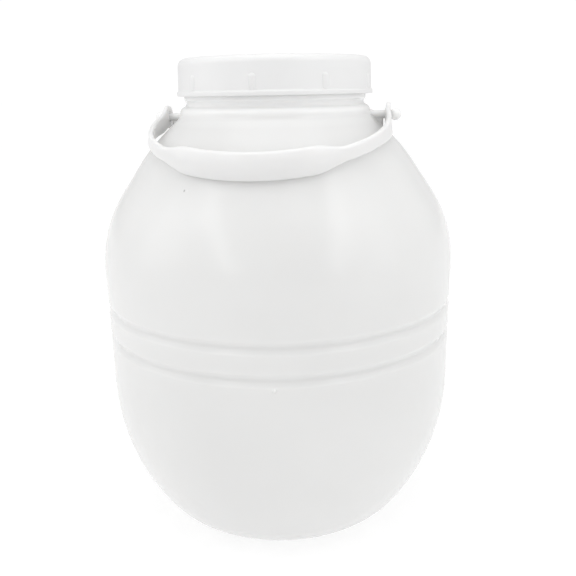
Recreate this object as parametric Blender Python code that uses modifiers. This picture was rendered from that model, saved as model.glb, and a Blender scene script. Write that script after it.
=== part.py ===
"""A round-shouldered blown plastic food jar, with its screw lid and its swinging carrying handle.

Metres, +Z up. The origin is the centre of the base. The handle turns about the X axis through the two
lugs, and is modelled resting on the shoulder at the front, which is -Y.
"""

import math

import bmesh
import bpy
import numpy as np

MM = 0.001
TURN_STEPS = 56
ARC_ERROR = 0.2 * MM

# Jar body, radii and heights above the base
BELLY_RADIUS = 148.4 * MM
BASE_HOLLOW_RADIUS = 56.0 * MM
BASE_HOLLOW_DEPTH = 3.0 * MM
LOWER_BULGE_RADIUS = 182.0 * MM
LOWER_BULGE_START = 126.0 * MM
BASE_CORNER_HEIGHT = 26.0 * MM
BASE_CORNER_ROUNDING = 52.0 * MM
UPPER_BELLY_CORNER = 258.4 * MM
UPPER_BELLY_ROUNDING = 104.0 * MM
SHOULDER_RADIUS = 105.0 * MM
SHOULDER_HEIGHT = 322.0 * MM
SHOULDER_ROUNDING = 140.0 * MM
GROOVE_HEIGHTS = (195.3 * MM, 171.2 * MM)
GROOVE_WIDTH = 10.0 * MM
GROOVE_DEPTH = 2.3 * MM
GROOVE_EDGE_ROUNDING = 1.5 * MM
GROOVE_ROUNDING = 2.5 * MM

# Neck: a rounded bead at its foot, a pinch above it, and the plain finish under the lid
NECK_RADIUS = 74.5 * MM
NECK_ROUNDING = 1.2 * MM
PINCH_RADIUS = 70.9 * MM
PINCH_HEIGHT = 356.3 * MM
PINCH_ROUNDING = 1.5 * MM
BEAD_RADIUS = 78.4 * MM
BEAD_TOP = 353.0 * MM
BEAD_FOOT = 346.8 * MM
BEAD_ROUNDING = 4.0 * MM
BEAD_FOOT_ROUNDING = 2.0 * MM
COLLAR_HEIGHT = 359.6 * MM

# Screw lid
LID_BOTTOM = 362.9 * MM
LID_HEIGHT = 28.9 * MM
LID_TOP_RADIUS = 78.0 * MM
LID_WALL_RADIUS = 78.8 * MM
LID_BEAD_RADIUS = 80.0 * MM
LID_BEAD_HEIGHT = 3.0 * MM
LID_BEAD_ROUNDING = 0.6 * MM
LID_ROUNDING = 6.0 * MM
LID_THICKNESS = 3.1 * MM
LID_RECESS_RADIUS = 62.0 * MM
LID_RECESS_DEPTH = 1.2 * MM
LID_RECESS_SLOPE = 1.6 * MM
RIB_COUNT = 9
FIRST_RIB = math.radians(-92)
RIB_RADIUS = 1.6 * MM
RIB_PROUD = 1.1 * MM
RIB_LENGTH = 13.0 * MM
GAP = 0.3 * MM

# Lugs that carry the handle, on +X and -X
PIVOT_HEIGHT = 346.2 * MM
PIN_RADIUS = 3.2 * MM
BALL_RADIUS = 4.7 * MM
BALL_REACH = 98.8 * MM
WEB_REACH = 87.0 * MM
WEB_THICKNESS = 3.0 * MM
WEB_FOOT = 325.0 * MM
LUG_ROOT = 66.0 * MM

# Handle: a bowed strap whose middle widens into an arched grip; STRAP_EDGE is its edge's share of the thickness
EYE_REACH = 93.0 * MM
EYE_THICKNESS = 3.8 * MM
EYE_RADIUS = 9.4 * MM
EYE_HOLE_RADIUS = 3.8 * MM
HANDLE_HALF_WIDTH = 94.6 * MM
HANDLE_BOW_CENTRE = 26.0 * MM
HANDLE_REACH = 123.5 * MM
HANDLE_DROOP = math.radians(13.8)
STRAP_HEIGHT = 10.5 * MM
STRAP_THICKNESS = 3.8 * MM
STRAP_EDGE = 0.72
GRIP_HEIGHT = 20.0 * MM
GRIP_THICKNESS = 3.2 * MM
GRIP_ARCH = 3.2 * MM
GRIP_HALF_LENGTH = 46.0 * MM
GRIP_BLEND = 22.0 * MM
GRIP_TILT = math.radians(10)
STRAP_STATIONS = 53
SECTION_STEPS = 6


def clear_scene():
    for obj in list(bpy.data.objects):
        bpy.data.objects.remove(obj, do_unlink=True)


def new_collection(name, hidden=False):
    collection = bpy.data.collections.new(name)
    bpy.context.scene.collection.children.link(collection)
    collection.hide_render = hidden
    return collection


def plastic(name, colour, roughness):
    material = bpy.data.materials.new(name)
    material.use_nodes = True
    shader = material.node_tree.nodes["Principled BSDF"]
    shader.inputs["Base Color"].default_value = (*colour, 1.0)
    shader.inputs["Roughness"].default_value = roughness
    shader.inputs["Metallic"].default_value = 0.0
    return material


def new_object(name, mesh, collection, material=None):
    obj = bpy.data.objects.new(name, mesh)
    collection.objects.link(obj)
    if material:
        mesh.materials.append(material)
    return obj


def mesh_from(shape, name):
    """The bmesh as mesh data of that name."""
    bmesh.ops.recalc_face_normals(shape, faces=shape.faces)
    mesh = bpy.data.meshes.new(name)
    shape.to_mesh(mesh)
    shape.free()
    return mesh


def arc_steps(turn, radius):
    """How many chords keep within the arc error of an arc that turns this far."""
    widest = 2 * math.acos(max(0.0, 1 - ARC_ERROR / radius))
    return max(1, math.ceil(abs(turn) / widest))


def round_corner(before, corner, after, radius):
    """Points of the arc of this radius that rounds a corner of an outline."""
    before, corner, after = (np.array(point, float) for point in (before, corner, after))
    to_before = (before - corner) / np.linalg.norm(before - corner)
    to_after = (after - corner) / np.linalg.norm(after - corner)
    half_angle = math.acos(float(np.clip(to_before @ to_after, -1, 1))) / 2
    middle = to_before + to_after
    centre = corner + middle / np.linalg.norm(middle) * radius / math.sin(half_angle)
    turn = math.pi - 2 * half_angle
    steps = arc_steps(turn, radius)
    start = corner + to_before * radius / math.tan(half_angle) - centre
    across = to_before @ np.array((-to_after[1], to_after[0]))
    turn = math.copysign(turn, across)
    points = []
    for step in range(steps + 1):
        angle = turn * step / steps
        cos, sin = math.cos(angle), math.sin(angle)
        points.append((centre[0] + cos * start[0] - sin * start[1], centre[1] + sin * start[0] + cos * start[1]))
    return points


def rounded_outline(corners):
    """An outline from corners of (radius, height, rounding); a corner with no rounding stays sharp."""
    points = []
    for index, (radius, height, rounding) in enumerate(corners):
        if rounding:
            points += round_corner(corners[index - 1][:2], (radius, height), corners[index + 1][:2], rounding)
        else:
            points.append((radius, height))
    return points


def turned(name, outline, collection, material):
    """The outline, listed down its outer side, turned about Z."""
    mesh = bpy.data.meshes.new(name)
    points = [(radius, 0.0, height) for radius, height in outline]
    edges = [(index, index + 1) for index in range(len(points) - 1)]
    mesh.from_pydata(points, edges, [])
    obj = new_object(name, mesh, collection, material)
    screw = obj.modifiers.new("Turn", "SCREW")
    screw.axis = "Z"
    screw.steps = TURN_STEPS
    screw.render_steps = TURN_STEPS
    screw.use_merge_vertices = True
    screw.merge_threshold = 0.00001
    return obj


def add_boolean(obj, other, operation):
    boolean = obj.modifiers.new(f"{operation.title()} {other.name}", "BOOLEAN")
    boolean.operation = operation
    boolean.object = other
    boolean.solver = "EXACT"


def as_cutter(obj):
    obj.hide_render = True
    obj.display_type = "WIRE"
    return obj


def rod_along_x(name, radius, start, end, height, collection, sides=24):
    """A round bar parallel to X at this height."""
    shape = bmesh.new()
    bmesh.ops.create_cone(
        shape, cap_ends=True, segments=sides, radius1=radius, radius2=radius, depth=abs(end - start)
    )
    mesh = mesh_from(shape, name)
    obj = as_cutter(new_object(name, mesh, collection))
    obj.rotation_euler = (0.0, math.pi / 2, 0.0)
    obj.location = ((start + end) / 2, 0.0, height)
    return obj


def groove_corners(height):
    """The corners of one moulded groove round the belly, top to bottom."""
    edge = GROOVE_WIDTH / 2
    return [
        (BELLY_RADIUS, height + edge, GROOVE_EDGE_ROUNDING),
        (BELLY_RADIUS - GROOVE_DEPTH, height, GROOVE_ROUNDING),
        (BELLY_RADIUS, height - edge, GROOVE_EDGE_ROUNDING),
    ]


def lower_corners():
    """The long bulge from the wall in to the base, the rounded edge that the jar stands on, and its hollow."""
    lean = math.asin((LOWER_BULGE_START - BASE_CORNER_HEIGHT) / LOWER_BULGE_RADIUS)
    reach = LOWER_BULGE_RADIUS * math.tan(lean / 2)
    bulge_corner_height = LOWER_BULGE_START - reach
    base_corner_radius = BELLY_RADIUS - bulge_corner_height * math.tan(lean)
    return [
        (BELLY_RADIUS, bulge_corner_height, LOWER_BULGE_RADIUS),
        (base_corner_radius, 0.0, BASE_CORNER_ROUNDING),
        (BASE_HOLLOW_RADIUS + BASE_HOLLOW_DEPTH, 0.0, 0),
        (BASE_HOLLOW_RADIUS, BASE_HOLLOW_DEPTH, 0),
        (0.0, BASE_HOLLOW_DEPTH, 0),
    ]


def jar_outline():
    neck_top = LID_BOTTOM + LID_HEIGHT - LID_THICKNESS - LID_RECESS_DEPTH - GAP
    corners = [
        (0.0, neck_top, 0),
        (NECK_RADIUS, neck_top, NECK_ROUNDING),
        (NECK_RADIUS, COLLAR_HEIGHT, NECK_ROUNDING),
        (PINCH_RADIUS, PINCH_HEIGHT, PINCH_ROUNDING),
        (BEAD_RADIUS, BEAD_TOP, BEAD_ROUNDING),
        (BEAD_RADIUS, BEAD_FOOT, BEAD_FOOT_ROUNDING),
        (SHOULDER_RADIUS, SHOULDER_HEIGHT, SHOULDER_ROUNDING),
        (BELLY_RADIUS, UPPER_BELLY_CORNER, UPPER_BELLY_ROUNDING),
    ]
    for height in GROOVE_HEIGHTS:
        corners += groove_corners(height)
    return rounded_outline(corners + lower_corners())


def lug(side, cutters):
    """The pieces of one lug: its pin, the ball on the pin's end and the web that props it."""
    name = "right" if side > 0 else "left"
    pin = rod_along_x(f"pin_{name}", PIN_RADIUS, side * LUG_ROOT, side * BALL_REACH, PIVOT_HEIGHT, cutters)
    shape = bmesh.new()
    bmesh.ops.create_uvsphere(shape, u_segments=20, v_segments=12, radius=BALL_RADIUS)
    ball = as_cutter(new_object(f"ball_{name}", mesh_from(shape, f"ball_{name}"), cutters))
    ball.location = (side * BALL_REACH, 0.0, PIVOT_HEIGHT)
    shape = bmesh.new()
    bmesh.ops.create_cube(shape, size=1.0)
    size = (WEB_REACH - LUG_ROOT, WEB_THICKNESS, PIVOT_HEIGHT - WEB_FOOT)
    bmesh.ops.scale(shape, vec=size, verts=shape.verts)
    web = as_cutter(new_object(f"web_{name}", mesh_from(shape, f"web_{name}"), cutters))
    web.location = (side * (WEB_REACH + LUG_ROOT) / 2, 0.0, (PIVOT_HEIGHT + WEB_FOOT) / 2)
    return [pin, ball, web]


def build_jar(parts, cutters):
    material = plastic("milky_plastic", (0.86, 0.86, 0.85), 0.38)
    jar = turned("jar_body", jar_outline(), parts, material)
    for side in (1, -1):
        for piece in lug(side, cutters):
            add_boolean(jar, piece, "UNION")
    return jar


def lid_outline():
    top = LID_BOTTOM + LID_HEIGHT
    inner_radius = NECK_RADIUS + GAP
    ceiling = top - LID_THICKNESS - LID_RECESS_DEPTH
    bead_top = LID_BOTTOM + LID_BEAD_HEIGHT
    return rounded_outline([
        (0.0, top - LID_RECESS_DEPTH, 0),
        (LID_RECESS_RADIUS, top - LID_RECESS_DEPTH, 0),
        (LID_RECESS_RADIUS + LID_RECESS_SLOPE, top, 0),
        (LID_TOP_RADIUS, top, LID_ROUNDING),
        (LID_WALL_RADIUS, bead_top + LID_BEAD_RADIUS - LID_WALL_RADIUS, 0),
        (LID_BEAD_RADIUS, bead_top, LID_BEAD_ROUNDING),
        (LID_BEAD_RADIUS, LID_BOTTOM, LID_BEAD_ROUNDING),
        (inner_radius, LID_BOTTOM, 0),
        (inner_radius, ceiling, 0),
        (0.0, ceiling, 0),
    ])


def lid_rib(index, cutters):
    """One upright grip rib: a rounded bar sunk in the lid's wall."""
    shape = bmesh.new()
    bmesh.ops.create_uvsphere(shape, u_segments=12, v_segments=6, radius=RIB_RADIUS)
    bmesh.ops.translate(shape, vec=(0.0, 0.0, -RIB_RADIUS), verts=shape.verts)
    for vert in shape.verts:
        if vert.co.z < -1.01 * RIB_RADIUS:
            vert.co.z -= RIB_LENGTH - 2 * RIB_RADIUS
    rib = as_cutter(new_object(f"rib_{index + 1}", mesh_from(shape, f"rib_{index + 1}"), cutters))
    angle = FIRST_RIB + 2 * math.pi * index / RIB_COUNT
    reach = LID_WALL_RADIUS + RIB_PROUD - RIB_RADIUS
    top = LID_BOTTOM + LID_BEAD_HEIGHT + RIB_LENGTH
    rib.location = (reach * math.cos(angle), reach * math.sin(angle), top)
    return rib


def build_lid(parts, cutters):
    lid = turned("lid", lid_outline(), parts, plastic("lid_plastic", (0.84, 0.84, 0.84), 0.42))
    for index in range(RIB_COUNT):
        add_boolean(lid, lid_rib(index, cutters), "UNION")
    return lid


def smooth_step(value):
    value = min(max(value, 0.0), 1.0)
    return value * value * (3 - 2 * value)


def strap_path(turn):
    """A point of the bowed strap's centreline in the handle's plane: (across, outward from the pivot)."""
    depth = HANDLE_REACH - HANDLE_BOW_CENTRE
    return HANDLE_HALF_WIDTH * math.cos(turn), HANDLE_BOW_CENTRE + depth * math.sin(turn)


def strap_section(turn):
    """One cross-section of the strap, as points in the handle's own frame, where -Y is outward."""
    across, outward = strap_path(turn)
    depth = HANDLE_REACH - HANDLE_BOW_CENTRE
    normal = np.array((depth * math.cos(turn), -HANDLE_HALF_WIDTH * math.sin(turn), 0.0))
    normal /= np.linalg.norm(normal)
    grip = smooth_step((GRIP_HALF_LENGTH + GRIP_BLEND - abs(across)) / GRIP_BLEND)
    tilt = GRIP_TILT * smooth_step((outward - EYE_RADIUS) / HANDLE_BOW_CENTRE)
    height = STRAP_HEIGHT + (GRIP_HEIGHT - STRAP_HEIGHT) * grip
    thickness = STRAP_THICKNESS + (GRIP_THICKNESS - STRAP_THICKNESS) * grip
    arch = GRIP_ARCH * grip
    up = np.array((0.0, 0.0, 1.0))
    out_axis = normal * math.cos(tilt) + up * math.sin(tilt)
    up_axis = up * math.cos(tilt) - normal * math.sin(tilt)
    centre = np.array((across, -outward, 0.0))
    outer, inner = [], []
    for step in range(SECTION_STEPS + 1):
        level = 2 * step / SECTION_STEPS - 1
        bow = arch * (0.5 - level * level)
        edge = STRAP_EDGE if step in (0, SECTION_STEPS) else 1.0
        place = centre + up_axis * level * height / 2
        outer.append(place + out_axis * (bow + edge * thickness / 2))
        inner.append(place + out_axis * (bow - edge * thickness / 2))
    return outer + inner[::-1]


def strap_mesh(name):
    """The strap as a loft through its sections, closed at both ends."""
    start = math.asin((EYE_RADIUS * 0.5 - HANDLE_BOW_CENTRE) / (HANDLE_REACH - HANDLE_BOW_CENTRE))
    shape = bmesh.new()
    rings = []
    for station in range(STRAP_STATIONS):
        turn = start + (math.pi - 2 * start) * station / (STRAP_STATIONS - 1)
        rings.append([shape.verts.new(point) for point in strap_section(turn)])
    count = len(rings[0])
    for ring, following in zip(rings, rings[1:]):
        for index in range(count):
            after = (index + 1) % count
            shape.faces.new((ring[index], ring[after], following[after], following[index]))
    shape.faces.new(rings[0])
    shape.faces.new(rings[-1])
    return mesh_from(shape, name)


def build_handle(parts, cutters):
    """The strap with an eye at each end, in its own frame, then tipped down onto the shoulder."""
    handle = new_object("handle", strap_mesh("handle"), parts, plastic("handle_plastic", (0.86, 0.86, 0.86), 0.4))
    handle.location = (0.0, 0.0, PIVOT_HEIGHT)
    handle.rotation_euler = (HANDLE_DROOP, 0.0, 0.0)
    for side, name in ((1, "right"), (-1, "left")):
        inner = side * (EYE_REACH - EYE_THICKNESS / 2)
        outer = side * (EYE_REACH + EYE_THICKNESS / 2)
        eye = rod_along_x(f"eye_{name}", EYE_RADIUS, inner, outer, PIVOT_HEIGHT, cutters, 32)
        add_boolean(handle, eye, "UNION")
    bore = rod_along_x("eye_bore", EYE_HOLE_RADIUS, -110 * MM, 110 * MM, PIVOT_HEIGHT, cutters)
    add_boolean(handle, bore, "DIFFERENCE")
    return handle


def shade_round(parts):
    for obj in parts.objects:
        obj.data.shade_smooth()
        obj.data.set_sharp_from_angle(angle=math.radians(35))


def main():
    clear_scene()
    parts = new_collection("food_jar")
    cutters = new_collection("cutters", hidden=True)
    build_jar(parts, cutters)
    build_lid(parts, cutters)
    build_handle(parts, cutters)
    shade_round(parts)


main()
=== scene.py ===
"""The looks of a round-shouldered blown plastic food jar, with its screw lid and its swinging handle.

Metres, +Z up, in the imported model's frame: the jar stands on the origin, and the handle turns about the
X axis through the two lugs. It is modelled resting on the shoulder at the front, which is -Y.
"""

import math

import bmesh
import bpy
import numpy as np
from mathutils import Matrix, Vector, noise


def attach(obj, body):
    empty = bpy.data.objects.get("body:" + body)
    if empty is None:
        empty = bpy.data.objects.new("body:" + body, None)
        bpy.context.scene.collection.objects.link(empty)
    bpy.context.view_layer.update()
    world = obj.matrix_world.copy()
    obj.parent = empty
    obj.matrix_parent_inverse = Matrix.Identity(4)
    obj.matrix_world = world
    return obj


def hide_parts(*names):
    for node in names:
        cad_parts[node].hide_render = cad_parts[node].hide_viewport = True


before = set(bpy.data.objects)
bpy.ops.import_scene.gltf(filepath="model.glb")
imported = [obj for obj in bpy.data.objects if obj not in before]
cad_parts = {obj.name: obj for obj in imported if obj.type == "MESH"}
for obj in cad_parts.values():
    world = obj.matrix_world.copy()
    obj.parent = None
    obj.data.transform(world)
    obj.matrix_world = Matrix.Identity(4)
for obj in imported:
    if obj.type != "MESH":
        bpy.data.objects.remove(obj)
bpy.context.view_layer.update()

MM = 0.001
ARC_ERROR = 0.012 * MM
LONGEST_EDGE = 6.0 * MM
SMALLEST_RADIUS = 1e-7
SHARP_ANGLE = math.radians(32)

# Jar body, radii and heights above the base
BELLY_RADIUS = 148.4 * MM
BASE_HOLLOW_RADIUS = 56.0 * MM
BASE_HOLLOW_DEPTH = 3.0 * MM
BASE_HOLLOW_ROUNDING = 1.5 * MM
LOWER_BULGE_RADIUS = 182.0 * MM
LOWER_BULGE_START = 126.0 * MM
BASE_CORNER_HEIGHT = 26.0 * MM
BASE_CORNER_ROUNDING = 52.0 * MM
UPPER_BELLY_CORNER = 258.4 * MM
UPPER_BELLY_ROUNDING = 104.0 * MM
SHOULDER_RADIUS = 105.0 * MM
SHOULDER_HEIGHT = 322.0 * MM
SHOULDER_ROUNDING = 140.0 * MM
GROOVE_HEIGHTS = (195.3 * MM, 171.2 * MM)
GROOVE_WIDTH = 10.0 * MM
GROOVE_DEPTH = 2.3 * MM
GROOVE_EDGE_ROUNDING = 4.0 * MM
GROOVE_ROUNDING = 4.0 * MM
JAR_STEPS = 192

# Neck: a rounded bead at its foot, a pinch above it, and the plain finish under the lid
NECK_RADIUS = 74.5 * MM
NECK_ROUNDING = 1.2 * MM
PINCH_RADIUS = 70.9 * MM
PINCH_HEIGHT = 356.3 * MM
PINCH_ROUNDING = 2.6 * MM
BEAD_RADIUS = 78.4 * MM
BEAD_TOP = 353.0 * MM
BEAD_FOOT = 346.8 * MM
BEAD_ROUNDING = 5.0 * MM
BEAD_FOOT_ROUNDING = 6.0 * MM
COLLAR_HEIGHT = 359.6 * MM

# The blown wall's slow unevenness, and the parting ridge that the two mould halves leave above the X axis
WAVE_LENGTH = 85.0 * MM
WAVE_DEPTH = 0.45 * MM
RIDGE_PROUD = 0.12 * MM
RIDGE_HALF_ANGLE = math.radians(0.22)

# Small marks on the front: a moulded nub under the lower groove, and a dark fleck with a scratch beside it.
# Angles run from the front towards +X.
NUB_ANGLE = math.radians(8.0)
NUB_HEIGHT = 164.6 * MM
NUB_RADIUS = 2.6 * MM
NUB_PROUD = 0.35 * MM
NUB_STEPS = 28
FLECK_ANGLE = math.radians(-23.2)
FLECK_HEIGHT = 299.8 * MM
FLECK_RING = 120.5 * MM
FLECK_RADIUS = 1.0 * MM
FLECK_SQUEEZE = 0.5
SCRATCH_OFFSET = 2.6 * MM
SCRATCH_RADIUS = 0.7 * MM
FLECK_TONE = (0.30, 0.30, 0.30, 1.0)
SCRATCH_TONE = (0.82, 0.82, 0.82, 1.0)
MARK_STRENGTH = 0.85
MARK_CORE = 0.35

# Painted light on the neck: the paler tone painted on it under the lid to lighten the shade there, and how
# far below the bead's top it fades out
NECK_PAINTED_LIGHT_TONE = (0.92, 0.92, 0.915, 1.0)
NECK_PAINTED_LIGHT_FADE = 13.0 * MM

# Screw lid
LID_BOTTOM = 362.9 * MM
LID_HEIGHT = 28.9 * MM
LID_TOP_RADIUS = 78.0 * MM
LID_WALL_RADIUS = 78.8 * MM
LID_BEAD_RADIUS = 80.0 * MM
LID_BEAD_HEIGHT = 3.0 * MM
LID_BEAD_ROUNDING = 0.6 * MM
LID_ROUNDING = 6.0 * MM
LID_THICKNESS = 3.1 * MM
LID_RECESS_RADIUS = 62.0 * MM
LID_RECESS_DEPTH = 1.2 * MM
LID_RECESS_SLOPE = 1.6 * MM
LID_RECESS_ROUNDING = 0.8 * MM
LID_MOUTH_ROUNDING = 0.4 * MM
LID_STEPS = 240
RIB_COUNT = 9
FIRST_RIB = math.radians(-92)
RIB_HALF_WIDTH = 2.9 * MM
RIB_HALF_DEPTH = 1.3 * MM
RIB_PROUD = 0.55 * MM
RIB_LENGTH = 13.0 * MM
RIB_STEPS = 40
GAP = 0.3 * MM

# Lugs that carry the handle, on +X and -X
PIVOT_HEIGHT = 346.2 * MM
PIN_RADIUS = 3.2 * MM
PIN_FLARE = 4.2 * MM
PIN_FLARE_REACH = 81.5 * MM
PIN_FLARE_WAIST = 0.55
PIN_FLARE_SPAN = 1.4
BALL_RADIUS = 4.7 * MM
BALL_REACH = 98.8 * MM
BALL_STEPS = 16
WEB_REACH = 89.2 * MM
WEB_THICKNESS = 3.0 * MM
WEB_FOOT = 325.0 * MM
WEB_FILLET = 2.4 * MM
WEB_LEVELS = 14
WEB_REACHES = (BEAD_RADIUS - 2 * MM, 80 * MM, 82 * MM, 84 * MM)
WEB_EDGE_TURNS = tuple(math.radians(turn) for turn in (0, 25, 50, 70, 84))
LUG_ROOT = 66.0 * MM
LUG_STEPS = 48

# Handle: a bowed strap whose middle widens into an arched grip, with an eye at each end
EYE_REACH = 93.0 * MM
EYE_THICKNESS = 3.8 * MM
EYE_RADIUS = 9.4 * MM
EYE_HOLE_RADIUS = 3.8 * MM
EYE_ROUNDING = 1.1 * MM
EYE_STEPS = 96
EYE_OVERLAP = 0.5
BORE_FLARE = 0.5 * MM
BORE_OVERRUN = 2.0 * MM
BORE_STEPS = 64
EYE_BLEND = 4.0 * MM
EYE_BLEND_LENGTH = 12.0 * MM
STRAP_SKIRT = 4.0 * MM
SKIRT_LENGTH = 62.0 * MM
HANDLE_HALF_WIDTH = 94.6 * MM
HANDLE_BOW_CENTRE = 26.0 * MM
HANDLE_REACH = 123.5 * MM
HANDLE_DROOP = math.radians(13.8)
STRAP_HEIGHT = 10.5 * MM
STRAP_THICKNESS = 3.8 * MM
STRAP_ROUNDING = 1.8 * MM
FULLEST_ROUNDING = 0.9
GRIP_HEIGHT = 20.0 * MM
GRIP_THICKNESS = 3.2 * MM
GRIP_ARCH = 3.2 * MM
GRIP_HALF_LENGTH = 46.0 * MM
GRIP_BLEND = 22.0 * MM
GRIP_TILT = math.radians(10)
STRAP_STATIONS = 181
SIDE_STEPS = 14
EDGE_STEPS = 5

# Plastics: a pale and a deep tone, the range of roughness, the scale of the clouds, how much light passes
# through the skin, and how strong its orange peel is
PLASTICS = {
    "milky_plastic": {
        "pale": (0.75, 0.75, 0.745), "deep": (0.725, 0.725, 0.72), "gloss": (0.19, 0.25),
        "cloud_scale": 9.0, "translucency": 0.7, "peel": 0.25,
    },
    "lid_plastic": {
        "pale": (0.78, 0.78, 0.78), "deep": (0.76, 0.76, 0.76), "gloss": (0.30, 0.38),
        "cloud_scale": 14.0, "translucency": 0.2, "peel": 0.3,
    },
    "handle_plastic": {
        "pale": (0.73, 0.73, 0.73), "deep": (0.71, 0.71, 0.71), "gloss": (0.28, 0.36),
        "cloud_scale": 16.0, "translucency": 1.0, "peel": 0.3,
    },
}
PLASTIC_IOR = 1.5
GLOW_RADIUS = (1.0, 0.97, 0.94)
GLOW_DEPTH = 6.0 * MM
PATCHES_PER_CLOUD = 2.7
SKIN_SCALE = 900.0
SWELL_SCALE = 38.0
SWELL_HEIGHT = 4.0
PEEL_DEPTH = 0.02 * MM

# Camera: it stands in front, a little to the right, and looks down at the jar
CAMERA_AZIMUTH = math.radians(10.0)
CAMERA_DISTANCE = 585.85 * MM
CAMERA_HEIGHT = 366.75 * MM
CAMERA_HEADING = math.radians(9.24)
CAMERA_PITCH = math.radians(16.21)
CAMERA_ROLL = math.radians(1.08)
CAMERA_LENS = 42.625
SENSOR_WIDTH = 36.0

# Studio: a white background, a room that is a little darker behind the jar than beside it, and soft boxes.
# Azimuths run from the front, -Y, towards +X.
BACKGROUND_LEVEL = 1.04
ROOM_LEVEL = 0.92
FRONT_LEVEL = 0.70
FLAG_LEVEL = 0.66
FRONT_FADE = (-0.9, -0.1)
ROOM_EDGES = tuple(math.cos(math.radians(angle)) for angle in (62, 50))
FLOOR_SIZE = 60.0
FLOOR_GLOW = 0.71
FLOOR_PALE = (0.32, 0.32, 0.32, 1.0)
FLOOR_DEEP = (0.30, 0.30, 0.30, 1.0)
FLOOR_GRAIN_SCALE = 60.0
FLOOR_ROUGHNESS = 0.9
# Each soft box is a strip from one direction to another, as (azimuth, elevation) in degrees
BOX_DISTANCE = 1.8
LIT_POINT = Vector((0.0, -0.12, 0.28))
SOFT_BOXES = (
    {"name": "left_box", "low": (-18, 8), "high": (-62, 53), "width": 0.28, "power": 2.6},
    {"name": "right_box", "low": (47, 8), "high": (74, 54), "width": 0.28, "power": 2.3},
    {"name": "left_wall", "low": (-72, 0), "high": (-72, 55), "width": 0.9, "power": 3.0},
    {"name": "right_wall", "low": (78, 0), "high": (78, 55), "width": 0.9, "power": 2.6},
    {"name": "ceiling", "low": (0, 62), "high": (180, 62), "width": 1.4, "power": 6.8},
)


def arc_steps(turn, radius):
    """How many chords keep within the arc error of an arc that turns this far."""
    widest = 2 * math.acos(max(0.0, 1 - ARC_ERROR / radius))
    return max(1, math.ceil(abs(turn) / widest))


def round_corner(before, corner, after, radius):
    """Points of the arc of this radius that rounds a corner of an outline."""
    before, corner, after = (np.array(point, float) for point in (before, corner, after))
    to_before = (before - corner) / np.linalg.norm(before - corner)
    to_after = (after - corner) / np.linalg.norm(after - corner)
    half_angle = math.acos(float(np.clip(to_before @ to_after, -1, 1))) / 2
    middle = to_before + to_after
    centre = corner + middle / np.linalg.norm(middle) * radius / math.sin(half_angle)
    turn = math.pi - 2 * half_angle
    steps = arc_steps(turn, radius)
    start = corner + to_before * radius / math.tan(half_angle) - centre
    across = to_before @ np.array((-to_after[1], to_after[0]))
    turn = math.copysign(turn, across)
    points = []
    for step in range(steps + 1):
        angle = turn * step / steps
        cos, sin = math.cos(angle), math.sin(angle)
        x, y = cos * start[0] - sin * start[1], sin * start[0] + cos * start[1]
        points.append((centre[0] + x, centre[1] + y))
    return points


def rounded_outline(corners):
    """An outline from corners of (radius, height, rounding); a corner with no rounding stays sharp."""
    points = []
    for index, (radius, height, rounding) in enumerate(corners):
        if rounding:
            before, after = corners[index - 1][:2], corners[index + 1][:2]
            points += round_corner(before, (radius, height), after, rounding)
        else:
            points.append((radius, height))
    return points


def evenly_split(outline):
    """The outline with its long straight runs split into short ones."""
    points = [outline[0]]
    for before, after in zip(outline, outline[1:]):
        pieces = max(1, math.ceil(math.dist(before, after) / LONGEST_EDGE))
        for piece in range(1, pieces + 1):
            share = piece / pieces
            points.append(tuple(a + (b - a) * share for a, b in zip(before, after)))
    return points


def smooth_step(value):
    value = min(max(value, 0.0), 1.0)
    return value * value * (3 - 2 * value)


def mesh_from(shape, name):
    """The bmesh as mesh data of that name, with its faces outward."""
    bmesh.ops.recalc_face_normals(shape, faces=shape.faces)
    mesh = bpy.data.meshes.new(name)
    shape.to_mesh(mesh)
    shape.free()
    return mesh


def turned_mesh(name, outline, angles, shift=None):
    """The outline, listed down its outer side, turned about Z; shift moves a point along its radius."""
    shape = bmesh.new()
    rings = []
    for radius, height in outline:
        if radius < SMALLEST_RADIUS:
            rings.append([shape.verts.new((0.0, 0.0, height))])
            continue
        ring = []
        for angle in angles:
            reach = radius + (shift(radius, height, angle) if shift else 0.0)
            ring.append(shape.verts.new((reach * math.cos(angle), reach * math.sin(angle), height)))
        rings.append(ring)
    bridge_rings(shape, rings, len(angles))
    return mesh_from(shape, name)


def bridge_rings(shape, rings, count):
    """Faces between each ring of points and the next; a ring of one point makes a fan."""
    for ring, following in zip(rings, rings[1:]):
        for index in range(count):
            after = (index + 1) % count
            corners = (
                ring[index % len(ring)],
                following[index % len(following)],
                following[after % len(following)],
                ring[after % len(ring)],
            )
            shape.faces.new(list(dict.fromkeys(corners)))


def even_angles(steps):
    return [2 * math.pi * step / steps for step in range(steps)]


def laid_along_x(mesh, side):
    """Turns a mesh built round Z so that it lies round the handle's axis, pointing to that side."""
    mesh.transform(Matrix.Rotation(side * math.pi / 2, 4, "Y"))
    mesh.transform(Matrix.Translation((0.0, 0.0, PIVOT_HEIGHT)))
    return mesh


def fused(name, meshes, cutters=()):
    """One object of the meshes joined into a closed whole, less the cutters."""
    scene = bpy.context.scene.collection
    whole = bpy.data.objects.new(name, meshes[0])
    scene.objects.link(whole)
    helpers = []
    for operation, others in (("UNION", meshes[1:]), ("DIFFERENCE", cutters)):
        for mesh in others:
            helper = bpy.data.objects.new(mesh.name, mesh)
            scene.objects.link(helper)
            helpers.append(helper)
            boolean = whole.modifiers.new(mesh.name, "BOOLEAN")
            boolean.operation = operation
            boolean.object = helper
            boolean.solver = "EXACT"
    bpy.context.view_layer.update()
    depsgraph = bpy.context.evaluated_depsgraph_get()
    result = bpy.data.meshes.new_from_object(whole.evaluated_get(depsgraph))
    whole.modifiers.clear()
    whole.data = result
    result.name = name
    for helper in helpers:
        bpy.data.objects.remove(helper, do_unlink=True)
    result.shade_smooth()
    result.set_sharp_from_angle(angle=SHARP_ANGLE)
    return whole


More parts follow.
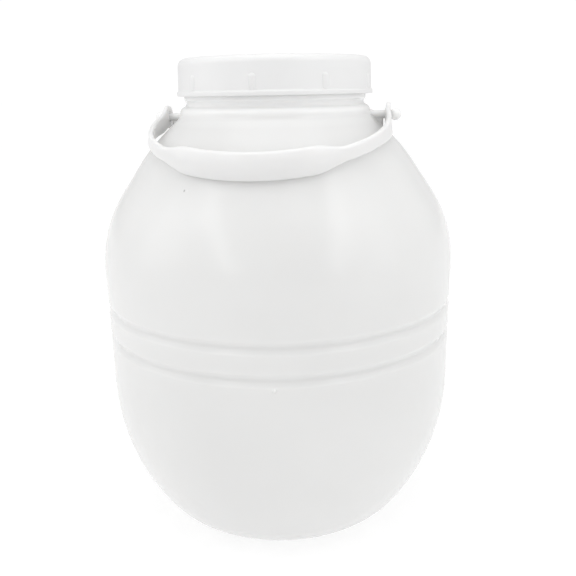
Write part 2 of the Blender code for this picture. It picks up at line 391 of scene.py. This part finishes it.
def groove_corners(height):
    """The corners of one moulded groove round the belly, top to bottom."""
    edge = GROOVE_WIDTH / 2
    return [
        (BELLY_RADIUS, height + edge, GROOVE_EDGE_ROUNDING),
        (BELLY_RADIUS - GROOVE_DEPTH, height, GROOVE_ROUNDING),
        (BELLY_RADIUS, height - edge, GROOVE_EDGE_ROUNDING),
    ]


def lower_corners():
    """The long bulge from the wall in to the base, the rounded edge under it, and the base's hollow."""
    lean = math.asin((LOWER_BULGE_START - BASE_CORNER_HEIGHT) / LOWER_BULGE_RADIUS)
    reach = LOWER_BULGE_RADIUS * math.tan(lean / 2)
    bulge_corner_height = LOWER_BULGE_START - reach
    base_corner_radius = BELLY_RADIUS - bulge_corner_height * math.tan(lean)
    return [
        (BELLY_RADIUS, bulge_corner_height, LOWER_BULGE_RADIUS),
        (base_corner_radius, 0.0, BASE_CORNER_ROUNDING),
        (BASE_HOLLOW_RADIUS + BASE_HOLLOW_DEPTH, 0.0, BASE_HOLLOW_ROUNDING),
        (BASE_HOLLOW_RADIUS, BASE_HOLLOW_DEPTH, BASE_HOLLOW_ROUNDING),
        (0.0, BASE_HOLLOW_DEPTH, 0),
    ]


def jar_outline():
    neck_top = LID_BOTTOM + LID_HEIGHT - LID_THICKNESS - LID_RECESS_DEPTH - GAP
    corners = [
        (0.0, neck_top, 0),
        (NECK_RADIUS, neck_top, NECK_ROUNDING),
        (NECK_RADIUS, COLLAR_HEIGHT, NECK_ROUNDING),
        (PINCH_RADIUS, PINCH_HEIGHT, PINCH_ROUNDING),
        (BEAD_RADIUS, BEAD_TOP, BEAD_ROUNDING),
        (BEAD_RADIUS, BEAD_FOOT, BEAD_FOOT_ROUNDING),
        (SHOULDER_RADIUS, SHOULDER_HEIGHT, SHOULDER_ROUNDING),
        (BELLY_RADIUS, UPPER_BELLY_CORNER, UPPER_BELLY_ROUNDING),
    ]
    for height in GROOVE_HEIGHTS:
        corners += groove_corners(height)
    return evenly_split(rounded_outline(corners + lower_corners()))


def wall_shift(radius, height, angle):
    """How far the blown wall stands off its drawn line: slow waves inward, and the fine parting ridge."""
    place = Vector((radius * math.cos(angle), radius * math.sin(angle), height))
    wave = 0.5 + 0.5 * noise.noise(place / WAVE_LENGTH)
    belly = smooth_step((radius - BEAD_RADIUS) / (BELLY_RADIUS - BEAD_RADIUS))
    off_plane = min(abs(math.remainder(angle, math.pi)), RIDGE_HALF_ANGLE)
    ridge = RIDGE_PROUD * (1 - off_plane / RIDGE_HALF_ANGLE)
    return ridge - RIDGE_PROUD - WAVE_DEPTH * min(max(wave, 0.0), 1.0) * belly


def jar_angles():
    """Even steps, with a few close ones at each parting ridge."""
    angles = even_angles(JAR_STEPS)
    for middle in (0.0, math.pi):
        for share in (-1.0, -0.5, 0.5, 1.0):
            angles.append((middle + share * RIDGE_HALF_ANGLE) % (2 * math.pi))
    return sorted(angles)


def pin_mesh(side):
    """A lug's pin with its flared root and its ball end."""
    ball_back = BALL_REACH - math.sqrt(BALL_RADIUS ** 2 - PIN_RADIUS ** 2)
    corners = [
        (0.0, LUG_ROOT, 0),
        (PIN_RADIUS + PIN_FLARE, LUG_ROOT, 0),
        (PIN_RADIUS + PIN_FLARE * PIN_FLARE_WAIST, PIN_FLARE_REACH - PIN_FLARE * PIN_FLARE_SPAN, PIN_FLARE),
        (PIN_RADIUS, PIN_FLARE_REACH, PIN_FLARE),
    ]
    outline = rounded_outline(corners + [(PIN_RADIUS, ball_back, 0)])
    start = math.asin(PIN_RADIUS / BALL_RADIUS)
    for step in range(1, BALL_STEPS + 1):
        turn = start + (math.pi - start) * step / BALL_STEPS
        outline.append((BALL_RADIUS * math.sin(turn), BALL_REACH - BALL_RADIUS * math.cos(turn)))
    outline[-1] = (0.0, BALL_REACH + BALL_RADIUS)
    mesh = turned_mesh("pin", outline, even_angles(LUG_STEPS))
    return laid_along_x(mesh, side)


def shoulder_height_at(reach, outline):
    """Height of the jar's outer surface above a point this far from its axis."""
    for (radius, height), (next_radius, next_height) in zip(outline, outline[1:]):
        if height < BEAD_FOOT and radius <= reach < next_radius:
            return height + (next_height - height) * (reach - radius) / (next_radius - radius)
    return BEAD_FOOT


def web_mesh(side, outline):
    """The upright web under a pin, with a fillet where it meets the shoulder and a rounded outer edge."""
    shape = bmesh.new()
    rings = []
    edge = WEB_THICKNESS / 2
    reaches = [LUG_ROOT, *WEB_REACHES]
    reaches += [WEB_REACH - edge + edge * math.sin(turn) for turn in WEB_EDGE_TURNS]
    for reach in reaches:
        narrowing = math.sqrt(max(0.0, 1 - max(0.0, (reach - WEB_REACH + edge) / edge) ** 2))
        foot = shoulder_height_at(reach, outline)
        ring = []
        for step in range(WEB_LEVELS + 1):
            share = (step / WEB_LEVELS) ** 2
            height = WEB_FOOT + (PIVOT_HEIGHT - WEB_FOOT) * share if reach < BEAD_RADIUS else foot - MM
            if reach >= BEAD_RADIUS:
                height += (PIVOT_HEIGHT - foot + MM) * share
            rise = max(0.0, height - foot)
            fillet = WEB_FILLET * max(0.0, 1 - rise / WEB_FILLET) ** 2
            ring.append((reach, edge * narrowing + fillet, height))
        rings.append(ring)
    loops = []
    for ring in rings:
        front = [shape.verts.new((side * reach, -half, height)) for reach, half, height in ring]
        back = [shape.verts.new((side * reach, half, height)) for reach, half, height in reversed(ring)]
        loops.append(front + back)
    bridge_rings(shape, loops, len(loops[0]))
    shape.faces.new(loops[0])
    shape.faces.new(loops[-1])
    return mesh_from(shape, "web")


def nub_mesh():
    """The sunk ball that leaves a low nub on the wall."""
    shape = bmesh.new()
    bmesh.ops.create_uvsphere(shape, u_segments=NUB_STEPS, v_segments=NUB_STEPS, radius=NUB_RADIUS)
    reach = BELLY_RADIUS - NUB_RADIUS + NUB_PROUD
    place = (reach * math.sin(NUB_ANGLE), -reach * math.cos(NUB_ANGLE), NUB_HEIGHT)
    bmesh.ops.translate(shape, vec=place, verts=shape.verts)
    return mesh_from(shape, "nub")


def build_jar():
    outline = jar_outline()
    meshes = [turned_mesh("jar", outline, jar_angles(), wall_shift)]
    for side in (1, -1):
        meshes += [web_mesh(side, outline), pin_mesh(side)]
    meshes.append(nub_mesh())
    return fused("jar_shell", meshes)


def lid_outline():
    top = LID_BOTTOM + LID_HEIGHT
    inner_radius = NECK_RADIUS + GAP
    ceiling = top - LID_THICKNESS - LID_RECESS_DEPTH
    bead_top = LID_BOTTOM + LID_BEAD_HEIGHT
    return rounded_outline([
        (0.0, top - LID_RECESS_DEPTH, 0),
        (LID_RECESS_RADIUS, top - LID_RECESS_DEPTH, LID_RECESS_ROUNDING),
        (LID_RECESS_RADIUS + LID_RECESS_SLOPE, top, LID_RECESS_ROUNDING),
        (LID_TOP_RADIUS, top, LID_ROUNDING),
        (LID_WALL_RADIUS, bead_top + LID_BEAD_RADIUS - LID_WALL_RADIUS, LID_BEAD_ROUNDING),
        (LID_BEAD_RADIUS, bead_top, LID_BEAD_ROUNDING),
        (LID_BEAD_RADIUS, LID_BOTTOM, LID_BEAD_ROUNDING),
        (inner_radius, LID_BOTTOM, LID_MOUTH_ROUNDING),
        (inner_radius, ceiling, 0),
        (0.0, ceiling, 0),
    ])


def rib_mesh(index):
    """One upright grip rib: a low rounded bar sunk in the lid's wall."""
    shape = bmesh.new()
    bmesh.ops.create_uvsphere(
        shape, u_segments=RIB_STEPS, v_segments=RIB_STEPS // 2, radius=RIB_HALF_WIDTH
    )
    for vert in shape.verts:
        vert.co.x *= RIB_HALF_DEPTH / RIB_HALF_WIDTH
        if vert.co.z < -0.01 * RIB_HALF_WIDTH:
            vert.co.z -= RIB_LENGTH - 2 * RIB_HALF_WIDTH
    angle = FIRST_RIB + 2 * math.pi * index / RIB_COUNT
    reach = LID_WALL_RADIUS + RIB_PROUD - RIB_HALF_DEPTH
    top = LID_BOTTOM + LID_BEAD_HEIGHT + RIB_LENGTH - RIB_HALF_WIDTH
    shape.transform(Matrix.Rotation(angle, 4, "Z"))
    place = (reach * math.cos(angle), reach * math.sin(angle), top)
    bmesh.ops.translate(shape, vec=place, verts=shape.verts)
    return mesh_from(shape, f"rib_{index + 1}")


def build_lid():
    meshes = [turned_mesh("lid", lid_outline(), even_angles(LID_STEPS))]
    meshes += [rib_mesh(index) for index in range(RIB_COUNT)]
    return fused("lid_shell", meshes)


def strap_loop(height, thickness, arch):
    """A strap's cross-section as (outward, up) points: two long sides and four rounded edges."""
    half_height, half_thickness = height / 2, thickness / 2
    rounding = min(STRAP_ROUNDING, half_thickness * FULLEST_ROUNDING)
    flat_height, flat_thickness = half_height - rounding, half_thickness - rounding
    points = []
    for step in range(SIDE_STEPS):
        points.append((half_thickness, flat_height * (2 * step / SIDE_STEPS - 1)))
    for quarter, side in ((0, 1), (1, -1)):
        for step in range(EDGE_STEPS):
            turn = (quarter + step / EDGE_STEPS) * math.pi / 2
            outward = side * flat_thickness + rounding * math.cos(turn)
            points.append((outward, flat_height + rounding * math.sin(turn)))
    loop = points + [(-outward, -up) for outward, up in points]
    return [(outward + arch * (0.5 - (up / half_height) ** 2), up) for outward, up in loop]


def strap_section(turn):
    """One cross-section of the strap, as points in the handle's own frame, where -Y is outward."""
    depth = HANDLE_REACH - HANDLE_BOW_CENTRE
    across = HANDLE_HALF_WIDTH * math.cos(turn)
    outward = HANDLE_BOW_CENTRE + depth * math.sin(turn)
    normal = np.array((depth * math.cos(turn), -HANDLE_HALF_WIDTH * math.sin(turn), 0.0))
    normal /= np.linalg.norm(normal)
    grip = smooth_step((GRIP_HALF_LENGTH + GRIP_BLEND - abs(across)) / GRIP_BLEND)
    tilt = GRIP_TILT * smooth_step((outward - EYE_RADIUS) / HANDLE_BOW_CENTRE)
    near_eye = 1 - smooth_step((outward - EYE_RADIUS * EYE_OVERLAP) / EYE_BLEND_LENGTH)
    fading = 1 - smooth_step((outward - EYE_BLEND_LENGTH) / SKIRT_LENGTH)
    skirt = STRAP_SKIRT * (1 - near_eye) * fading
    height = STRAP_HEIGHT + (GRIP_HEIGHT - STRAP_HEIGHT) * grip + EYE_BLEND * near_eye + skirt
    thickness = STRAP_THICKNESS + (GRIP_THICKNESS - STRAP_THICKNESS) * grip
    up = np.array((0.0, 0.0, 1.0))
    out_axis = normal * math.cos(tilt) + up * math.sin(tilt)
    up_axis = up * math.cos(tilt) - normal * math.sin(tilt)
    centre = np.array((across, -outward, -skirt / 2))
    loop = strap_loop(height, thickness, GRIP_ARCH * grip)
    return [centre + out_axis * off + up_axis * rise for off, rise in loop]


def strap_mesh():
    """The strap as a loft through its sections, closed at both ends."""
    depth = HANDLE_REACH - HANDLE_BOW_CENTRE
    start = math.asin((EYE_RADIUS * EYE_OVERLAP - HANDLE_BOW_CENTRE) / depth)
    shape = bmesh.new()
    rings = []
    for station in range(STRAP_STATIONS):
        turn = start + (math.pi - 2 * start) * station / (STRAP_STATIONS - 1)
        rings.append([shape.verts.new(point) for point in strap_section(turn)])
    bridge_rings(shape, rings, len(rings[0]))
    shape.faces.new(rings[0])
    shape.faces.new(rings[-1])
    mesh = mesh_from(shape, "strap")
    mesh.transform(Matrix.Rotation(HANDLE_DROOP, 4, "X"))
    mesh.transform(Matrix.Translation((0.0, 0.0, PIVOT_HEIGHT)))
    return mesh


def eye_mesh(side):
    """The round eye at one end of the strap, still without its bore."""
    inner, outer = EYE_REACH - EYE_THICKNESS / 2, EYE_REACH + EYE_THICKNESS / 2
    corners = [
        (0.0, inner, 0),
        (EYE_RADIUS, inner, EYE_ROUNDING),
        (EYE_RADIUS, outer, EYE_ROUNDING),
        (0.0, outer, 0),
    ]
    mesh = turned_mesh("eye", rounded_outline(corners), even_angles(EYE_STEPS))
    return laid_along_x(mesh, side)


def bore_mesh(side):
    """The cutter that bores one eye, a little flared at both faces."""
    inner, outer = EYE_REACH - EYE_THICKNESS / 2, EYE_REACH + EYE_THICKNESS / 2
    mouth = EYE_HOLE_RADIUS + BORE_FLARE + BORE_OVERRUN
    outline = [
        (0.0, inner - BORE_OVERRUN),
        (mouth, inner - BORE_OVERRUN),
        (EYE_HOLE_RADIUS, inner + BORE_FLARE),
        (EYE_HOLE_RADIUS, outer - BORE_FLARE),
        (mouth, outer + BORE_OVERRUN),
        (0.0, outer + BORE_OVERRUN),
    ]
    return laid_along_x(turned_mesh("bore", outline, even_angles(BORE_STEPS)), side)


def build_handle():
    solids = [strap_mesh(), eye_mesh(1), eye_mesh(-1)]
    return fused("handle_shell", solids, [bore_mesh(1), bore_mesh(-1)])


class Nodes:
    """A small helper that adds and links shader nodes in one tree."""

    def __init__(self, tree):
        self.tree = tree

    def add(self, kind, inputs=None, **settings):
        node = self.tree.nodes.new(kind)
        for name, value in settings.items():
            setattr(node, name, value)
        for name, value in (inputs or {}).items():
            self.feed(node.inputs[name], value)
        return node

    def feed(self, socket, value):
        if isinstance(value, bpy.types.NodeSocket):
            self.tree.links.new(value, socket)
        else:
            socket.default_value = value

    def noise(self, place, scale, detail=2.0, roughness=0.5):
        inputs = {"Vector": place, "Scale": scale, "Detail": detail, "Roughness": roughness}
        return self.add("ShaderNodeTexNoise", inputs).outputs["Fac"]

    def ramp(self, value, low, high, from_low=0.3, from_high=0.7):
        source = {"Value": value, "From Min": from_low, "From Max": from_high}
        inputs = {**source, "To Min": low, "To Max": high}
        return self.add("ShaderNodeMapRange", inputs, clamp=True).outputs["Result"]

    def between(self, share, low, high):
        inputs = {"Value": share, "To Min": low, "To Max": high}
        return self.add("ShaderNodeMapRange", inputs).outputs["Result"]

    def mix(self, factor, first, second):
        node = self.add("ShaderNodeMix", data_type="RGBA")
        self.feed(node.inputs["Factor"], factor)
        self.feed(node.inputs[6], first)
        self.feed(node.inputs[7], second)
        return node.outputs[2]


def moulded_plastic(name, pale, deep, gloss, cloud_scale, translucency, peel):
    """Milky moulded plastic: slow clouds of colour, patchy gloss, a faint orange-peel skin."""
    material = bpy.data.materials.new(name)
    material.use_nodes = True
    nodes = Nodes(material.node_tree)
    shader = material.node_tree.nodes["Principled BSDF"]
    place = nodes.add("ShaderNodeTexCoord").outputs["Object"]
    clouds = nodes.noise(place, cloud_scale, 3.0)
    colour = nodes.mix(nodes.ramp(clouds, 0.0, 1.0), (*deep, 1.0), (*pale, 1.0))
    patches = nodes.noise(place, cloud_scale * PATCHES_PER_CLOUD, 4.0, 0.6)
    roughness = nodes.ramp(patches, gloss[0], gloss[1])
    skin = nodes.noise(place, SKIN_SCALE, 2.0)
    swell = nodes.ramp(nodes.noise(place, SWELL_SCALE, 2.0), 0.0, SWELL_HEIGHT, 0.0, 1.0)
    relief = nodes.add("ShaderNodeMath", {0: skin, 1: swell}, operation="ADD").outputs[0]
    bump = nodes.add("ShaderNodeBump", {"Height": relief, "Strength": peel, "Distance": PEEL_DEPTH})
    material.node_tree.links.new(colour, shader.inputs["Base Color"])
    material.node_tree.links.new(roughness, shader.inputs["Roughness"])
    material.node_tree.links.new(bump.outputs["Normal"], shader.inputs["Normal"])
    shader.inputs["IOR"].default_value = PLASTIC_IOR
    shader.inputs["Subsurface Weight"].default_value = translucency
    shader.inputs["Subsurface Radius"].default_value = GLOW_RADIUS
    shader.inputs["Subsurface Scale"].default_value = GLOW_DEPTH
    return material


def paint_neck_light(material):
    """Paints the neck paler above the bead: painted light that lightens the shade under the lid, in place
    of light passing through the milky plastic.
    """
    nodes = Nodes(material.node_tree)
    shader = material.node_tree.nodes["Principled BSDF"]
    place = nodes.add("ShaderNodeTexCoord").outputs["Object"]
    height = nodes.add("ShaderNodeSeparateXYZ", {"Vector": place}).outputs["Z"]
    # Painted light: the neck's colour turns paler towards the pinch, where the lid shades it
    share = nodes.ramp(height, 0.0, 1.0, BEAD_TOP - NECK_PAINTED_LIGHT_FADE, PINCH_HEIGHT)
    colour = shader.inputs["Base Color"].links[0].from_socket
    material.node_tree.links.new(nodes.mix(share, colour, NECK_PAINTED_LIGHT_TONE), shader.inputs["Base Color"])


def add_fleck(material):
    """A dark fleck caught in the plastic, with a pale scratch beside it."""
    nodes = Nodes(material.node_tree)
    shader = material.node_tree.nodes["Principled BSDF"]
    place = nodes.add("ShaderNodeTexCoord").outputs["Object"]
    colour = shader.inputs["Base Color"].links[0].from_socket
    squeezed = nodes.add("ShaderNodeVectorMath", {0: place, 1: (1, 1, FLECK_SQUEEZE)}, operation="MULTIPLY")
    for name, offset, radius, tint in (
        ("fleck", 0.0, FLECK_RADIUS, FLECK_TONE),
        ("scratch", SCRATCH_OFFSET, SCRATCH_RADIUS, SCRATCH_TONE),
    ):
        angle = FLECK_ANGLE + offset / FLECK_RING
        spot = (FLECK_RING * math.sin(angle), -FLECK_RING * math.cos(angle), FLECK_HEIGHT * FLECK_SQUEEZE)
        inputs = {0: squeezed.outputs["Vector"], 1: spot}
        away = nodes.add("ShaderNodeVectorMath", inputs, operation="DISTANCE", name=name)
        share = nodes.ramp(away.outputs["Value"], MARK_STRENGTH, 0.0, radius * MARK_CORE, radius)
        colour = nodes.mix(share, colour, tint)
    material.node_tree.links.new(colour, shader.inputs["Base Color"])


def dress(piece, node, body, material):
    """Gives a shell its material and lets it stand for its CAD node."""
    piece.data.materials.clear()
    piece.data.materials.append(material)
    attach(piece, body)
    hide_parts(node)


def build_floor():
    """A pale floor that glows a little, so that it stays white under the jar."""
    shape = bmesh.new()
    bmesh.ops.create_grid(shape, x_segments=2, y_segments=2, size=FLOOR_SIZE / 2)
    mesh = mesh_from(shape, "floor")
    floor = bpy.data.objects.new("floor", mesh)
    bpy.context.scene.collection.objects.link(floor)
    material = bpy.data.materials.new("floor_paper")
    material.use_nodes = True
    nodes = Nodes(material.node_tree)
    shader = material.node_tree.nodes["Principled BSDF"]
    place = nodes.add("ShaderNodeTexCoord").outputs["Object"]
    grain = nodes.ramp(nodes.noise(place, FLOOR_GRAIN_SCALE, 3.0), 0.0, 1.0)
    colour = nodes.mix(grain, FLOOR_DEEP, FLOOR_PALE)
    material.node_tree.links.new(colour, shader.inputs["Base Color"])
    shader.inputs["Roughness"].default_value = FLOOR_ROUGHNESS
    shader.inputs["Emission Color"].default_value = (1.0, 1.0, 1.0, 1.0)
    shader.inputs["Emission Strength"].default_value = FLOOR_GLOW
    mesh.materials.append(material)


def build_world():
    """A white background, and the room that lights the jar and shows in its gloss."""
    world = bpy.data.worlds.new("studio")
    bpy.context.scene.world = world
    world.use_nodes = True
    nodes = Nodes(world.node_tree)
    background = world.node_tree.nodes["Background"]
    way = nodes.add("ShaderNodeTexCoord").outputs["Generated"]
    ahead = (-math.sin(CAMERA_HEADING), math.cos(CAMERA_HEADING), 0.0)
    facing = nodes.add("ShaderNodeVectorMath", {0: way, 1: ahead}, operation="DOT_PRODUCT").outputs["Value"]
    room = nodes.ramp(facing, FRONT_LEVEL, ROOM_LEVEL, *FRONT_FADE)
    around = nodes.between(nodes.ramp(facing, 0.0, 1.0, *ROOM_EDGES), room, FLAG_LEVEL)
    seen = nodes.add("ShaderNodeLightPath").outputs["Is Camera Ray"]
    level = nodes.between(seen, around, BACKGROUND_LEVEL)
    background.inputs["Color"].default_value = (1.0, 1.0, 1.0, 1.0)
    world.node_tree.links.new(level, background.inputs["Strength"])


def direction(azimuth, elevation):
    """The unit vector towards an azimuth, from the front towards +X, and an elevation, in degrees."""
    turn, rise = math.radians(azimuth), math.radians(elevation)
    return Vector((math.sin(turn) * math.cos(rise), -math.cos(turn) * math.cos(rise), math.sin(rise)))


def add_soft_box(name, low, high, width, power):
    """A rectangular soft light, from its low end to its high end, that faces the jar."""
    bottom, top = (direction(*end) * BOX_DISTANCE for end in (low, high))
    along = (top - bottom).normalized()
    away = (top + bottom).normalized()
    light = bpy.data.lights.new(name, "AREA")
    light.shape = "RECTANGLE"
    light.size = width
    light.size_y = (top - bottom).length
    light.energy = power
    box = bpy.data.objects.new(name, light)
    bpy.context.scene.collection.objects.link(box)
    turned = Matrix((along.cross(away), along, away)).transposed().to_4x4()
    box.matrix_world = Matrix.Translation(LIT_POINT + (top + bottom) / 2) @ turned


def build_camera():
    """The photograph's viewpoint."""
    camera = bpy.data.cameras.new("camera")
    camera.lens = CAMERA_LENS
    camera.sensor_width = SENSOR_WIDTH
    camera.clip_end = 2 * FLOOR_SIZE
    obj = bpy.data.objects.new("camera", camera)
    bpy.context.scene.collection.objects.link(obj)
    heading, pitch = CAMERA_HEADING, CAMERA_PITCH
    level_ahead = Vector((-math.sin(heading), math.cos(heading), 0.0))
    ahead = level_ahead * math.cos(pitch) - Vector((0.0, 0.0, math.sin(pitch)))
    level_right = Vector((math.cos(heading), math.sin(heading), 0.0))
    level_up = level_right.cross(ahead)
    right = level_right * math.cos(CAMERA_ROLL) - level_up * math.sin(CAMERA_ROLL)
    up = level_right * math.sin(CAMERA_ROLL) + level_up * math.cos(CAMERA_ROLL)
    turned = Matrix((right, up, -ahead)).transposed().to_4x4()
    place = Vector((math.sin(CAMERA_AZIMUTH), -math.cos(CAMERA_AZIMUTH), 0.0)) * CAMERA_DISTANCE
    place.z = CAMERA_HEIGHT
    obj.matrix_world = Matrix.Translation(place) @ turned
    bpy.context.scene.camera = obj


def main():
    plastics = {name: moulded_plastic(name, **recipe) for name, recipe in PLASTICS.items()}
    # Paints light onto the neck's shade under the lid
    paint_neck_light(plastics["milky_plastic"])
    add_fleck(plastics["milky_plastic"])
    dress(build_jar(), "jar_body", "container", plastics["milky_plastic"])
    dress(build_lid(), "lid", "container", plastics["lid_plastic"])
    dress(build_handle(), "handle", "handle", plastics["handle_plastic"])
    build_floor()
    build_world()
    for soft_box in SOFT_BOXES:
        add_soft_box(**soft_box)
    build_camera()
    bpy.context.scene.view_settings.view_transform = "Standard"


main()
